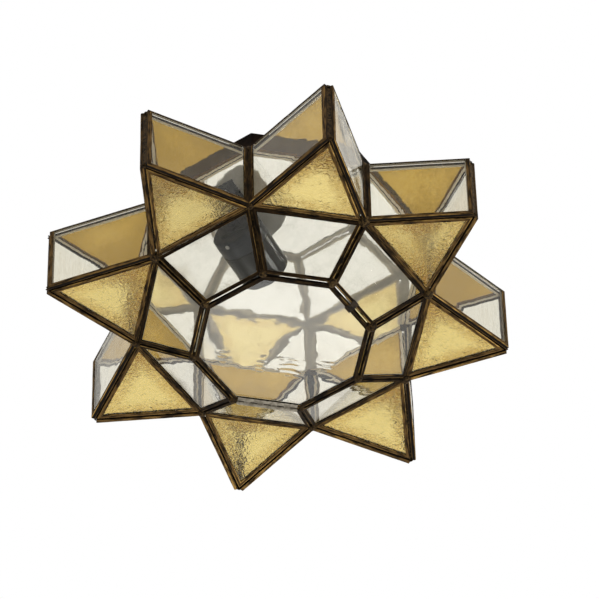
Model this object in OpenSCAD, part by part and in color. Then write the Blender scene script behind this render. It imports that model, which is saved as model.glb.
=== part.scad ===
// Eight-pointed star ceiling light of framed glass panes, with a hinged door below for the bulb.
// Z = 0 is the ceiling. The pan stands against it, the star hangs under the pan and the dome under the star.

/* [Star] */
// Radius to the sharp corner of a point, before its frames are set back
tip_r = 240; // [205:0.5:260]
// Radius to the valleys between the points
valley_r = 152; // [146:0.2:160]
// Distance of the ring's corners inside the valleys
ring_in = 4.6; // [3.4:0.1:6]
// Height of the star's side walls
star_h = 86; // [70:1:110]

/* [Dome and door] */
// Radius to the corners of the door opening
door_r = 89.8; // [75:0.2:110]
// Drop of the sloping panes from the star's front to the door
dome_h = 36.5; // [25:0.5:55]
// Gap round the door, at the inner edge of its frame
door_gap = 1.1; // [0.9:0.1:1.6]

/* [Channel and glass] */
// Width of the channel's face over the glass
came_face = 4.4; // [3.6:0.1:6]
// Width of the outer face along the side walls' back edges
back_lip = 2; // [1.2:0.1:6]
// Thickness of the channel's brass sheet
came_wall = 0.5; // [0.4:0.05:0.8]
// Thickness of a pane
glass_t = 3; // [2:0.1:4]
// Clearance between a pane and each face of its channel
glass_play = 0.1; // [0.05:0.05:0.3]
// Clearance between the edge of a pane and the bottom of its channel
glass_edge = 0.3; // [0.2:0.1:0.8]

/* [Solder joints] */
// Gap between the frames along a point's outer edge
tip_gap = 1.8; // [0.5:0.1:3]
// Gap between the frames of two sloping panes
slope_gap = 1.3; // [0.5:0.1:2.5]
// Gap between a side wall and the front or back frame set in beside it
wall_gap = 1.6; // [0.5:0.1:2.5]
// Gap between the frames at every other soldered joint
seam_gap = 0.5; // [0.3:0.1:1]
// Depth of solder in a joint
solder_depth = 1.6; // [0.8:0.1:2]
// Length of each joint that is left to the solder of its corner
seam_trim = 8; // [6:0.5:12]

/* [Hinge and catch] */
// Length of the door hinge
hinge_l = 60; // [40:1:64]
// Outer radius of the hinge knuckles
knuckle_r = 1.6; // [1.4:0.1:2]
// Radius of the hinge pin
pin_r = 0.8; // [0.6:0.05:0.9]
// Running clearance of the pin in its knuckles
pin_play = 0.05; // [0.02:0.01:0.1]
// Gap between neighbouring knuckles
knuckle_gap = 0.3; // [0.2:0.05:0.5]
// Thickness of the hinge leaves
leaf_t = 0.6; // [0.4:0.1:0.8]
// Thickness of the pin's peened heads
pin_head_t = 0.6; // [0.4:0.1:1]
// Width of the door catch along the frame
catch_w = 8; // [6:0.5:14]
// Thickness of the catch's sheet
catch_t = 0.8; // [0.6:0.1:1]
// Height of the catch's tongue inside the joint
catch_tongue = 2.4; // [1.5:0.1:3]
// Clearance between the catch and the door
catch_play = 0.45; // [0.3:0.05:0.6]

/* [Ceiling pan] */
// Distance of the pan's corners inside the ring's
pan_in = 8.9; // [8.9:0.1:20]
// Height of the pan
pan_h = 40; // [34:1:60]
// Thickness of the pan's sheet
sheet_t = 0.8; // [0.6:0.1:1.2]
// Width of the lip that is soldered to the mirror's frame
lip_w = 6; // [5:0.5:6]
// Height of the folded hem at the ceiling
hem_h = 6; // [4:0.5:8]

/* [Mounting bar] */
// Width of the bar
bar_w = 22; // [18:1:30]
// Thickness of the bar
bar_t = 2; // [1.5:0.1:2.5]
// Length of its bent ends
ear_h = 18; // [15:1:25]
// Distance between the centres of the ceiling slots
slot_pitch = 80; // [60:1:100]
// Length of a slot
slot_l = 24; // [12:1:30]
// Width of a slot
slot_w = 4.6; // [4:0.1:6]
// Outer radius of the bar's bends
bar_bend = 4; // [3:0.5:6]

/* [Screws] */
// Radius of the screws' shanks
screw_r = 2; // [1.5:0.1:2.2]
// Clearance of a screw in the sheet that it passes through
screw_play = 0.25; // [0.15:0.05:0.5]
// Running clearance of a screw in its tapped hole
thread_play = 0.05; // [0.02:0.01:0.1]
// Radius of the thumb screws' heads
thumb_r = 5; // [4:0.5:7]
// Length of the thumb screws' heads
thumb_h = 5; // [3:0.5:8]
// Bevel at the outer edge of those heads
thumb_edge = 1; // [0.5:0.1:1.5]
// Length of the thumb screws' shanks inside the pan
thumb_reach = 6; // [5:0.5:12]
// Radius of the bracket screws' heads
head_r = 3.6; // [3:0.1:4]
// Height of the bracket screws' heads
head_h = 2.4; // [1.8:0.1:3]
// Width of the nuts across their flats
nut_w = 7; // [6:0.5:8]
// Height of the nuts
nut_h = 3; // [2.4:0.1:4]
// Length of screw that stands out of a nut
screw_end = 2; // [1:0.5:4]
// Width of the nut on the socket's neck
neck_nut_w = 16; // [14:0.5:20]

/* [Socket] */
// Direction in plan that the socket points in
socket_angle = 49; // [0:1:90]
// Tilt of the socket away from the mirror
socket_tilt = 8; // [0:1:12]
// Distance of the socket's mouth from the middle of the lamp, in plan
mouth_back = 29; // [22:1:36]
// Distance of the middle of the mouth below the mirror
mouth_drop = 41.4; // [38:0.2:46]
// Outer radius of the socket
socket_r = 25.5; // [22:0.1:26]
// Length of the socket's front body
shell_l = 41; // [38:0.5:46]
// Length of the socket's rear cap
cap_l = 20; // [16:0.5:24]
// Radius of the wiring space in the cap
cap_space_r = 18; // [12:0.5:20]
// Depth of the wiring space in the cap
cap_space_l = 14; // [8:0.5:14]
// Gap between the body and the cap
cap_gap = 0.3; // [0.2:0.1:0.5]
// Rounding of the socket's edges
socket_round = 3; // [1:0.5:4]
// Inner radius of the brass screw shell
thread_r = 13.5; // [13.4:0.1:14]
// Length of the screw shell
thread_l = 22; // [18:0.5:24]
// Thickness of the screw shell
thread_wall = 0.4; // [0.3:0.1:0.6]
// Thickness of the centre contact
contact_t = 0.8; // [0.5:0.1:1.2]
// Radius of the centre contact
contact_r = 6; // [5.5:0.5:8]
// Depth of the contact's recess behind the screw shell
contact_room = 3; // [2.6:0.1:5]
// Depth of the skirt in front of the screw shell
skirt_l = 10; // [6:0.5:12]
// Radius of the skirt's opening
skirt_r = 17; // [16:0.5:19]
// Radius of the threaded neck behind the cap
neck_r = 5; // [4.5:0.1:6]
// Length of that neck
neck_l = 9; // [8:0.5:12]
// Radius of the wire hole through the neck
neck_bore = 3.2; // [3:0.1:3.5]

/* [Bracket and leads] */
// Width of the socket bracket
bracket_w = 28; // [26:1:34]
// Thickness of the bracket
bracket_t = 1.6; // [1.2:0.1:2.5]
// Length of the bracket's foot
foot_l = 34; // [32:1:38]
// Length of the bracket below the socket's axis
bracket_low = 11; // [9:1:15]
// Distance of the screws from the foot's bend
screw_in = 8; // [7:0.5:10]
// Distance between the two bracket screws
screw_pitch = 17; // [14:0.5:20]
// Distance of the wire hole from the foot's bend
wire_in = 23; // [20:0.5:25]
// Radius of the grommet's hole
grommet_bore = 3.6; // [3.2:0.1:4]
// Width of the grommet's rubber round its hole
grommet_wall = 2; // [1.5:0.1:2.5]
// Width of the grommet's flanges
grommet_flange = 2; // [1.5:0.1:2.5]
// Thickness of each flange
grommet_t = 1.4; // [1:0.1:2]
// Radius of a lead
lead_r = 1.1; // [0.8:0.1:1.2]
// Distance between the middles of the two leads
lead_pitch = 3; // [2.8:0.1:3.2]

/* [Hidden] */

BRASS = "#5a4426";
GOLD = "#8c6a34";
AMBER = [0.86, 0.70, 0.36, 0.7];
CLEAR = [0.90, 0.92, 0.90, 0.35];
SILVER = "#b9bcbc";
SOLDER = "#6d675c";
BAKELITE = "#232427";
STEEL = "#9a9b98";
RUBBER = "#1b1b1b";

// The star has eight points, so a sector is 45 degrees; corner 0 is half a sector before the -Y point
points = 8;
sector = 360 / points;
half = sector / 2;
flat_of = cos(half);
$fn = 48;
eps = 0.01;
hex_of = cos(30);
// Length of the drills that cut holes right through the sheets
drill = 16;

ring_r = valley_r - ring_in;
pan_r = ring_r - pan_in;
z_back = -pan_h;
z_front = z_back - star_h;
z_door = z_front - dome_h;
came_t = glass_t + 2 * glass_play + 2 * came_wall;
mirror_face = z_back - came_wall - glass_play - glass_t;
door_flat = door_r * flat_of;
pan_flat = pan_r * flat_of;

// The points were fitted by hand: how far each stands out, and how far it leans round, in degrees
tip_out = [-0.8, -3.2, -3.1, 1.3, 1.6, -1.8, 2.1, 4.1];
tip_turn = [1.13, -0.12, 0.38, -0.15, 0.32, -0.51, -0.86, 0.21];

// Corners of the star and of the door opening
function around(r, z, a) = [r * cos(a), r * sin(a), z];
function tip(k, z) =
    let (i = (k + points) % points)
    around(tip_r + tip_out[i], z, -90 + sector * k + tip_turn[i]);
function valley(k, z) = around(valley_r, z, -90 - half + sector * k);
function ring_corner(k, z) = around(ring_r, z, -90 - half + sector * k);
function door_corner(k) = around(door_r, z_door, -90 - half + sector * k);

// Faces of the star, each listed anticlockwise as seen from outside
function front_face(k) = [valley(k + 1, z_front), tip(k, z_front), valley(k, z_front)];
function back_face(k) = [valley(k, z_back), tip(k, z_back), valley(k + 1, z_back)];
function left_face(k) = [valley(k, z_front), tip(k, z_front), tip(k, z_back), valley(k, z_back)];
function right_face(k) =
    [tip(k, z_front), valley(k + 1, z_front), valley(k + 1, z_back), tip(k, z_back)];
function slope_face(k) =
    [ring_corner(k + 1, z_front), ring_corner(k, z_front), door_corner(k), door_corner(k + 1)];
door_face = [for (k = [points - 1:-1:0]) door_corner(k)];
mirror_outline = [for (k = [0:points - 1]) ring_corner(k, z_back)];

// Vector helpers
function unit(v) = v / norm(v);
function face_normal(p) = unit(cross(p[1] - p[0], p[2] - p[1]));

// Angle inside the lamp between two faces; fold is -1 where they meet outwards and 1 in a valley
function inside_angle(n1, n2, fold) = 180 + fold * acos(min(1, n1 * n2));
function tip_bend(k) = inside_angle(face_normal(left_face(k)), face_normal(right_face(k)), -1);
function valley_bend(k) =
    inside_angle(face_normal(right_face(k - 1)), face_normal(left_face(k)), 1);
ring_bend = inside_angle(face_normal(front_face(0)), face_normal(slope_face(0)), 1);
slope_bend = inside_angle(face_normal(slope_face(0)), face_normal(slope_face(1)), -1);
door_bend = inside_angle([0, 0, -1], face_normal(slope_face(0)), -1);
level_bend = 180;

// How far a frame is set back from an edge, so that it clears the frame across a gap
function set_back(bend, gap) = (gap / 2 + max(0, came_t * cos(bend / 2))) / sin(bend / 2);
function tip_set(k) = set_back(tip_bend(k), tip_gap);
function valley_set(k) = set_back(valley_bend(k), seam_gap);
ring_set = set_back(ring_bend, seam_gap);
slope_set = set_back(slope_bend, slope_gap);
door_set = set_back(door_bend, door_gap);
level_set = set_back(level_bend, seam_gap);

// The side walls stand the full height, and the front and back frames are set in between them
wall_set = came_t + wall_gap;
ring_step = ring_in * flat_of;
front_sets = [wall_set, wall_set, ring_set - ring_step];
back_sets = [wall_set, wall_set, level_set - ring_step];
function left_sets(k) = [0, tip_set(k), 0, valley_set(k)];
function right_sets(k) = [0, valley_set(k + 1), 0, tip_set(k)];
slope_sets = [ring_set, slope_set, door_set, slope_set];
door_sets = [for (k = [1:points]) door_set];
mirror_sets = [for (k = [1:points]) level_set];

// A face laid flat: its outline in its own plane, and the placing that takes it back
function laid_flat(p) =
    let (x = unit(p[1] - p[0]), y = cross(face_normal(p), x))
    [for (q = p) [(q - p[0]) * x, (q - p[0]) * y]];
function placing(x, y, z, o) =
    [[x[0], y[0], z[0], o[0]], [x[1], y[1], z[1], o[1]], [x[2], y[2], z[2], o[2]], [0, 0, 0, 1]];
function face_placing(p) =
    let (x = unit(p[1] - p[0]), z = face_normal(p))
    placing(x, cross(z, x), z, p[0]);

// An outline with each side moved inwards by its own amount
function side_normal(a, b) = let (e = unit(b - a)) [-e[1], e[0]];
function moved_corner(a, b, c, d1, d2) =
    let (n1 = side_normal(a, b), n2 = side_normal(b, c), det = n1[0] * n2[1] - n1[1] * n2[0])
    b + [(d1 * n2[1] - d2 * n1[1]) / det, (n1[0] * d2 - n2[0] * d1) / det];
function inset(p, d) =
    let (n = len(p))
    [for (i = [0:n - 1])
        moved_corner(p[(i + n - 1) % n], p[i], p[(i + 1) % n], d[(i + n - 1) % n], d[i])];
function all_plus(d, extra) = [for (v = d) v + extra];

// Channel folded round the edge of one pane, mitred at the corners; lips are its outer face's widths
module channel_frame(face, sets, lips) {
    outline = laid_flat(face);
    multmatrix(face_placing(face))
        difference() {
            translate([0, 0, -came_t])
                linear_extrude(came_t)
                    polygon(inset(outline, sets));
            translate([0, 0, -came_t - eps])
                linear_extrude(came_t + 2 * eps)
                    polygon(inset(outline, all_plus(sets, came_face)));
            translate([0, 0, -came_t + came_wall])
                linear_extrude(came_t - 2 * came_wall)
                    polygon(inset(outline, all_plus(sets, came_wall)));
            translate([0, 0, -2 * came_wall])
                linear_extrude(2 * came_wall + eps)
                    polygon(inset(outline, [for (i = [0:len(sets) - 1]) sets[i] + lips[i]]));
        }
}

// One flat pane, seated in the channel of its face
module pane(face, sets) {
    multmatrix(face_placing(face))
        translate([0, 0, -came_wall - glass_play - glass_t])
            linear_extrude(glass_t)
                polygon(inset(laid_flat(face), all_plus(sets, came_wall + glass_edge)));
}

// Outer face widths: the same on every side, or narrow along the back edge of a side wall
even_lips = [for (k = [1:points]) came_face];
wall_lips = [came_face, came_face, back_lip, came_face];

// The four frames of one point: front, back and the two side walls
module point_frame(k) {
    color(BRASS) {
        channel_frame(front_face(k), front_sets, even_lips);
        channel_frame(back_face(k), back_sets, even_lips);
        channel_frame(left_face(k), left_sets(k), wall_lips);
        channel_frame(right_face(k), right_sets(k), wall_lips);
    }
}

// Amber triangles at the front and the back of one point
module point_amber(k) {
    color(AMBER) {
        pane(front_face(k), front_sets);
        pane(back_face(k), back_sets);
    }
}

// Clear rectangles in the side walls of one point
module point_clear(k) {
    color(CLEAR) {
        pane(left_face(k), left_sets(k));
        pane(right_face(k), right_sets(k));
    }
}

// Sloping pane between the star and the door, and its frame
module slope_frame(k) {
    color(BRASS) channel_frame(slope_face(k), slope_sets, even_lips);
}
module slope_pane(k) {
    color(CLEAR) pane(slope_face(k), slope_sets);
}

// Solder along one joint: a bar that fills the narrow side of the gap between two frames
module seam(a, b, n1, n2, bend, gap) {
    along = unit(b - a);
    out = unit(n1 + n2);
    c = cos(bend / 2);
    s = sin(bend / 2);
    fold = (c >= 0) ? 1 : -1;
    near = -set_back(bend, gap) * c - max(0, fold) * came_t * s;
    wide = gap / 2 + solder_depth * abs(c);
    far = near + fold * solder_depth * s;
    multmatrix(placing(cross(out, along), out, along, a + along * seam_trim))
        linear_extrude(norm(b - a) - 2 * seam_trim)
            polygon([[-gap / 2, near], [gap / 2, near], [wide, far], [-wide, far]]);
}

// Solder at the bottom of the groove between a side wall and the frame set in beside it
module wall_seam(a, b, n, side) {
    along = unit(b - a);
    trim = seam_trim + wall_set;
    multmatrix(placing(n, cross(along, n), along, a + along * trim))
        linear_extrude(norm(b - a) - 2 * trim)
            translate([-wall_set, (side > 0) ? came_t - solder_depth : -came_t])
                square([wall_gap, solder_depth]);
}

module solder_seams() {
    up = [0, 0, 1];
    color(SOLDER)
        for (k = [0:points - 1]) {
            left = face_normal(left_face(k));
            right = face_normal(right_face(k));
            slope = face_normal(slope_face(k));
            next_slope = face_normal(slope_face(k + 1));
            next_left = face_normal(left_face(k + 1));
            seam(tip(k, z_front), tip(k, z_back), left, right, tip_bend(k), tip_gap);
            seam(valley(k + 1, z_front), valley(k + 1, z_back), right, next_left,
                valley_bend(k + 1), seam_gap);
            wall_seam(valley(k, z_front), tip(k, z_front), left, -1);
            wall_seam(tip(k, z_front), valley(k + 1, z_front), right, -1);
            wall_seam(valley(k, z_back), tip(k, z_back), left, 1);
            wall_seam(tip(k, z_back), valley(k + 1, z_back), right, 1);
            seam(ring_corner(k, z_front), ring_corner(k + 1, z_front), slope, -up,
                ring_bend, seam_gap);
            seam(ring_corner(k, z_back), ring_corner(k + 1, z_back), up, up, level_bend, seam_gap);
            seam(ring_corner(k + 1, z_front), door_corner(k + 1), slope, next_slope,
                slope_bend, slope_gap);
        }
}

// Mirror in the back of the star, drilled for the bracket's screws and the leads
module mirror_frame() {
    color(BRASS) channel_frame(mirror_outline, mirror_sets, even_lips);
}
module mirror_glass() {
    color(SILVER)
        difference() {
            pane(mirror_outline, mirror_sets);
            on_bracket() {
                foot_screw_holes(screw_r + 2 * screw_play);
                wire_hole(grommet_bore + grommet_wall + grommet_flange + screw_play);
            }
        }
}

module door_frame() {
    color(BRASS) channel_frame(door_face, door_sets, even_lips);
}
module door_pane() {
    color(CLEAR) pane(door_face, door_sets);
}

// Hinge, drawn across the door's far edge: Y points out from the door, and 0,0 is the edge
module at_hinge() {
    translate([0, door_flat, z_door]) children();
}
module across(l) {
    rotate([90, 0, 90])
        linear_extrude(l, center = true)
            children();
}

knuckles = 9;
knuckle_l = (hinge_l - (knuckles - 1) * knuckle_gap) / knuckles;
function knuckle_x(i) = (i - (knuckles - 1) / 2) * (knuckle_l + knuckle_gap);
slope_rise = 180 - door_bend;
leaf_clear = knuckle_r + 2 * knuckle_gap;

// The knuckles of one leaf with the tabs that join them to its plate; first is 0 or 1
module knuckle_row(first, turn) {
    for (i = [first:2:knuckles - 1])
        translate([knuckle_x(i), 0, 0])
            across(knuckle_l)
                difference() {
                    union() {
                        translate([0, -knuckle_r]) circle(knuckle_r);
                        rotate(turn)
                            translate([-knuckle_r / 2, -leaf_t])
                                square([leaf_clear + knuckle_r / 2 + eps, leaf_t]);
                    }
                    translate([0, -knuckle_r]) circle(pin_r + pin_play);
                }
}

// Plate of a leaf, lying on the face of its frame
module leaf_plate(turn) {
    across(hinge_l)
        rotate(turn)
            translate([leaf_clear, -leaf_t])
                square([door_set + came_face - leaf_clear, leaf_t]);
}

module hinge_body_leaf() {
    color(STEEL)
        at_hinge()
            union() {
                knuckle_row(0, slope_rise);
                leaf_plate(slope_rise);
            }
}

module hinge_door_leaf() {
    color(STEEL)
        at_hinge()
            mirror([0, 1, 0])
                union() {
                    knuckle_row(1, 0);
                    leaf_plate(0);
                }
}

module hinge_pin() {
    color(STEEL)
        at_hinge()
            translate([0, 0, -knuckle_r])
                rotate([0, 90, 0])
                    union() {
                        cylinder(h = hinge_l + 2 * pin_play + pin_head_t, r = pin_r, center = true);
                        for (side = [-1, 1])
                            translate([0, 0, side * (hinge_l + 2 * pin_play + pin_head_t) / 2])
                                cylinder(h = pin_head_t, r = (pin_r + knuckle_r) / 2, center = true);
                    }
}

// Door catch, one sector past the -Y side: a sprung clip on the slope and a finger tab on the door
catch_sector = 1;
module at_catch() {
    rotate([0, 0, sector * catch_sector - 180]) at_hinge() children();
}
tongue_out = door_set - catch_play;

module catch_clip() {
    color(BRASS)
        at_catch()
            across(catch_w)
                union() {
                    translate([-tongue_out, -catch_t]) square([tongue_out + catch_t, catch_t]);
                    translate([-tongue_out, -catch_t]) square([catch_t, catch_t + catch_tongue]);
                    rotate(slope_rise)
                        translate([0, -catch_t]) square([door_set + came_face, catch_t]);
                }
}

module door_tab() {
    color(GOLD)
        at_catch()
            across(catch_w)
                union() {
                    translate([-door_set - came_face, -catch_t])
                        square([came_face + door_set - tongue_out - catch_play, catch_t]);
                    translate([-door_set - came_face, -3 * catch_t])
                        square([catch_t, 2 * catch_t + eps]);
                }
}

// Octagon with its flats towards the points of the star, given by the distance to its flats
module octagon(to_flat) {
    rotate(half) circle(to_flat / flat_of, $fn = points);
}

// Pan against the ceiling: folded hem above, floor and soldered lip below
module ceiling_pan() {
    color(BRASS)
        difference() {
            union() {
                translate([0, 0, z_back]) linear_extrude(pan_h) octagon(pan_flat);
                translate([0, 0, z_back]) linear_extrude(sheet_t) octagon(pan_flat + lip_w);
            }
            translate([0, 0, z_back + sheet_t])
                linear_extrude(pan_h - sheet_t - hem_h) octagon(pan_flat - sheet_t);
            translate([0, 0, -hem_h - eps])
                linear_extrude(hem_h + 2 * eps) octagon(pan_flat - 2 * sheet_t);
            rotate([0, 90, 0])
                translate([thumb_z, 0, 0])
                    cylinder(h = 2 * pan_flat + drill, r = screw_r + screw_play, center = true);
            on_bracket() {
                foot_screw_holes(screw_r + screw_play);
                wire_hole(grommet_bore + grommet_wall + eps);
            }
        }
}

// Bar screwed to the ceiling, with an ear bent down inside the pan at each end
ear_gap = 0.3;
ear_x = pan_flat - 2 * sheet_t - ear_gap;
thumb_z = (ear_h + hem_h) / 2;

module bar_profile() {
    for (side = [0, 1])
        mirror([side, 0]) {
            translate([0, -bar_t]) square([ear_x - bar_bend, bar_t]);
            translate([ear_x - bar_t, -ear_h]) square([bar_t, ear_h - bar_bend]);
            translate([ear_x - bar_bend, -bar_bend])
                intersection() {
                    difference() {
                        circle(bar_bend);
                        circle(bar_bend - bar_t);
                    }
                    square(bar_bend);
                }
        }
}

module slot(l, w, h) {
    for (side = [-1, 1])
        translate([side * (l - w) / 2, 0, 0]) cylinder(h = h, r = w / 2, center = true);
    cube([l - w, w, h], center = true);
}

module mounting_bar() {
    color(STEEL)
        difference() {
            rotate([90, 0, 0]) linear_extrude(bar_w, center = true) bar_profile();
            for (side = [-1, 1])
                translate([side * slot_pitch / 2, 0, 0]) slot(slot_l, slot_w, drill);
            rotate([0, 90, 0])
                translate([thumb_z, 0, 0])
                    cylinder(h = 2 * pan_flat, r = screw_r + thread_play, center = true);
        }
}

// Thumb screws through the pan's sides into the ears
module thumb_screws() {
    grip = thumb_h - thumb_edge;
    color(GOLD)
        for (side = [0, 1])
            mirror([side, 0, 0])
                translate([pan_flat, 0, -thumb_z])
                    rotate([0, 90, 0])
                        union() {
                            cylinder(h = grip, r = thumb_r);
                            translate([0, 0, grip])
                                cylinder(h = thumb_edge, r1 = thumb_r, r2 = thumb_r - thumb_edge);
                            translate([0, 0, -thumb_reach])
                                cylinder(h = thumb_reach + eps, r = screw_r);
                        }
}

// The socket's own frame: X points where the socket points in plan, Z is up, origin on the lamp's axis
module along_socket() {
    rotate([0, 0, socket_angle]) children();
}
// In the same plane, at the mouth of the socket, with Z out of the mouth
module at_mouth() {
    along_socket()
        translate([-mouth_back, 0, mirror_face - mouth_drop])
            rotate([0, 90 + socket_tilt, 0])
                children();
}
socket_l = shell_l + cap_gap + cap_l;

// Front body: skirt, bore for the screw shell, rounded edges
module socket_shell() {
    bore = thread_r + thread_wall + eps;
    color(BAKELITE)
        at_mouth()
            rotate_extrude()
                difference() {
                    union() {
                        translate([0, -shell_l]) square([socket_r, shell_l - socket_round]);
                        translate([0, -socket_round]) square([socket_r - socket_round, socket_round]);
                        translate([socket_r - socket_round, -socket_round]) circle(socket_round);
                    }
                    translate([0, -skirt_l]) square([skirt_r, skirt_l + eps]);
                    translate([0, -skirt_l - thread_l - contact_room]) square([bore, drill + thread_l]);
                    translate([0, -shell_l - eps]) square([neck_r, shell_l]);
                    translate([-socket_r, -shell_l]) square([socket_r, shell_l]);
                }
}

// Rear cap with its threaded neck, hollow for the wires
module socket_cap() {
    color(BAKELITE)
        at_mouth()
            translate([0, 0, -socket_l])
                rotate_extrude()
                    difference() {
                        union() {
                            translate([0, socket_round]) square([socket_r, cap_l - socket_round]);
                            square([socket_r - socket_round, socket_round]);
                            translate([socket_r - socket_round, socket_round]) circle(socket_round);
                            translate([0, -neck_l]) square([neck_r, neck_l + eps]);
                        }
                        translate([0, cap_l - cap_space_l]) square([cap_space_r, cap_l]);
                        translate([0, -neck_l - eps]) square([neck_bore, neck_l + cap_l]);
                        translate([-socket_r, 0]) square([socket_r, cap_l]);
                    }
}

// Brass screw shell and the centre contact behind it
module socket_contacts() {
    color(GOLD)
        at_mouth() {
            translate([0, 0, -skirt_l - thread_l])
                difference() {
                    cylinder(h = thread_l, r = thread_r + thread_wall);
                    translate([0, 0, -eps]) cylinder(h = thread_l + 2 * eps, r = thread_r);
                }
            translate([0, 0, -skirt_l - thread_l - contact_room]) {
                cylinder(h = contact_t, r = contact_r);
                cylinder(h = 2 * contact_t, r = contact_r / 2);
            }
        }
}

// Bracket frame: X as the socket's, origin where the upright meets the mirror, Z up
rear_x = -mouth_back - (socket_l + bracket_t) * cos(socket_tilt);
rear_drop = mouth_drop - (socket_l + bracket_t) * sin(socket_tilt);
bend_x = rear_x + rear_drop * tan(socket_tilt);
module on_bracket() {
    along_socket() translate([bend_x, 0, mirror_face]) children();
}
module foot_screw_holes(r) {
    for (side = [-1, 1])
        translate([-screw_in, side * screw_pitch / 2, 0])
            cylinder(h = drill, r = r, center = true);
}
module wire_hole(r) {
    translate([-wire_in, 0, 0]) cylinder(h = drill, r = r, center = true);
}

// Bent strap: its foot is screwed through the mirror and its upright holds the socket's neck
module socket_bracket() {
    upright_l = rear_drop / cos(socket_tilt) + bracket_low;
    color(STEEL)
        difference() {
            on_bracket()
                rotate([90, 0, 0])
                    linear_extrude(bracket_w, center = true)
                        union() {
                            translate([-foot_l, -bracket_t]) square([foot_l + bracket_t, bracket_t]);
                            intersection() {
                                rotate(-socket_tilt)
                                    translate([0, -upright_l]) square([bracket_t, upright_l + bracket_t]);
                                translate([-2 * bracket_w, -2 * upright_l])
                                    square([4 * bracket_w, 2 * upright_l]);
                            }
                        }
            on_bracket() {
                foot_screw_holes(screw_r + screw_play);
                wire_hole(grommet_bore);
            }
            at_mouth()
                translate([0, 0, -socket_l - neck_l])
                    cylinder(h = neck_l, r = neck_r + screw_play);
        }
}

module hex_nut(w, h, r) {
    difference() {
        cylinder(h = h, r = w / 2 / hex_of, $fn = 6);
        translate([0, 0, -eps]) cylinder(h = h + 2 * eps, r = r + thread_play);
    }
}

// Two screws with their nuts in the pan, and the nut on the socket's neck
module bracket_screws() {
    grip = bracket_t + glass_t + glass_play + came_wall + sheet_t;
    color(STEEL) {
        on_bracket()
            for (side = [-1, 1])
                translate([-screw_in, side * screw_pitch / 2, -bracket_t]) {
                    translate([0, 0, -head_h]) cylinder(h = head_h, r = head_r);
                    cylinder(h = grip + nut_h + screw_end, r = screw_r);
                    translate([0, 0, grip]) hex_nut(nut_w, nut_h, screw_r);
                }
        at_mouth()
            translate([0, 0, -socket_l - bracket_t - nut_h]) hex_nut(neck_nut_w, nut_h, neck_r);
    }
}

// Rubber grommet in the pan's floor, over the mirror's wire hole
module wire_grommet() {
    neck = grommet_bore + grommet_wall;
    color(RUBBER)
        along_socket()
            translate([bend_x - wire_in, 0, z_back])
                rotate_extrude()
                    union() {
                        translate([grommet_bore, -grommet_t])
                            square([grommet_wall, sheet_t + 2 * grommet_t]);
                        for (z = [-grommet_t, sheet_t])
                            translate([grommet_bore, z])
                                square([neck + grommet_flange - grommet_bore, grommet_t]);
                    }
}

// Route of the leads in the bracket's plane, from the socket's neck up into the pan
lead_bend = 9;
lead_end_x = 34;
lead_rise = 9;
lead_sides = 8;
bend_steps = 6;
function arc(cx, cz, r, a0, a1) =
    [for (i = [0:bend_steps])
        let (a = a0 + (a1 - a0) * i / bend_steps) [cx + r * cos(a), cz + r * sin(a)]];
neck_end_x = rear_x - (neck_l - bracket_t) * cos(socket_tilt);
neck_end_z = mirror_face - rear_drop + (neck_l - bracket_t) * sin(socket_tilt);
hole_x = bend_x - wire_in;
lead_route = concat(
    [[neck_end_x + neck_l, neck_end_z - neck_l * tan(socket_tilt)]],
    arc(hole_x + lead_bend, neck_end_z + lead_bend, lead_bend, -90 - socket_tilt, -180),
    arc(hole_x + lead_bend, z_back + lead_rise, lead_bend, 180, 90),
    [[hole_x + lead_end_x, z_back + lead_rise + lead_bend]]
);

// A round lead swept along the route, as one closed skin
module lead(route, r, sides) {
    n = len(route);
    ring = [for (i = [0:n - 1])
        let (a = route[max(0, i - 1)], b = route[min(n - 1, i + 1)], d = unit(b - a))
        for (j = [0:sides - 1])
            let (t = 360 * j / sides)
            [route[i][0] - d[1] * r * cos(t), r * sin(t), route[i][1] + d[0] * r * cos(t)]];
    walls = [for (i = [0:n - 2], j = [0:sides - 1])
        let (p = i * sides + j, q = i * sides + (j + 1) % sides)
        each [[p, q, q + sides], [p, q + sides, p + sides]]];
    start = [[for (j = [sides - 1:-1:0]) j]];
    end = [[for (j = [0:sides - 1]) (n - 1) * sides + j]];
    polyhedron(points = ring, faces = concat(walls, start, end));
}

module socket_leads() {
    color(RUBBER)
        along_socket()
            for (side = [-1, 1])
                translate([0, side * lead_pitch / 2, 0]) lead(lead_route, lead_r, lead_sides);
}

point_frame(0);  // point_frame_1
point_frame(1);  // point_frame_2
point_frame(2);  // point_frame_3
point_frame(3);  // point_frame_4
point_frame(4);  // point_frame_5
point_frame(5);  // point_frame_6
point_frame(6);  // point_frame_7
point_frame(7);  // point_frame_8
point_amber(0);  // point_amber_1
point_amber(1);  // point_amber_2
point_amber(2);  // point_amber_3
point_amber(3);  // point_amber_4
point_amber(4);  // point_amber_5
point_amber(5);  // point_amber_6
point_amber(6);  // point_amber_7
point_amber(7);  // point_amber_8
point_clear(0);  // point_clear_1
point_clear(1);  // point_clear_2
point_clear(2);  // point_clear_3
point_clear(3);  // point_clear_4
point_clear(4);  // point_clear_5
point_clear(5);  // point_clear_6
point_clear(6);  // point_clear_7
point_clear(7);  // point_clear_8
slope_frame(0);  // slope_frame_1
slope_frame(1);  // slope_frame_2
slope_frame(2);  // slope_frame_3
slope_frame(3);  // slope_frame_4
slope_frame(4);  // slope_frame_5
slope_frame(5);  // slope_frame_6
slope_frame(6);  // slope_frame_7
slope_frame(7);  // slope_frame_8
slope_pane(0);  // slope_pane_1
slope_pane(1);  // slope_pane_2
slope_pane(2);  // slope_pane_3
slope_pane(3);  // slope_pane_4
slope_pane(4);  // slope_pane_5
slope_pane(5);  // slope_pane_6
slope_pane(6);  // slope_pane_7
slope_pane(7);  // slope_pane_8
mirror_frame();
mirror_glass();
solder_seams();
door_frame();
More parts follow.
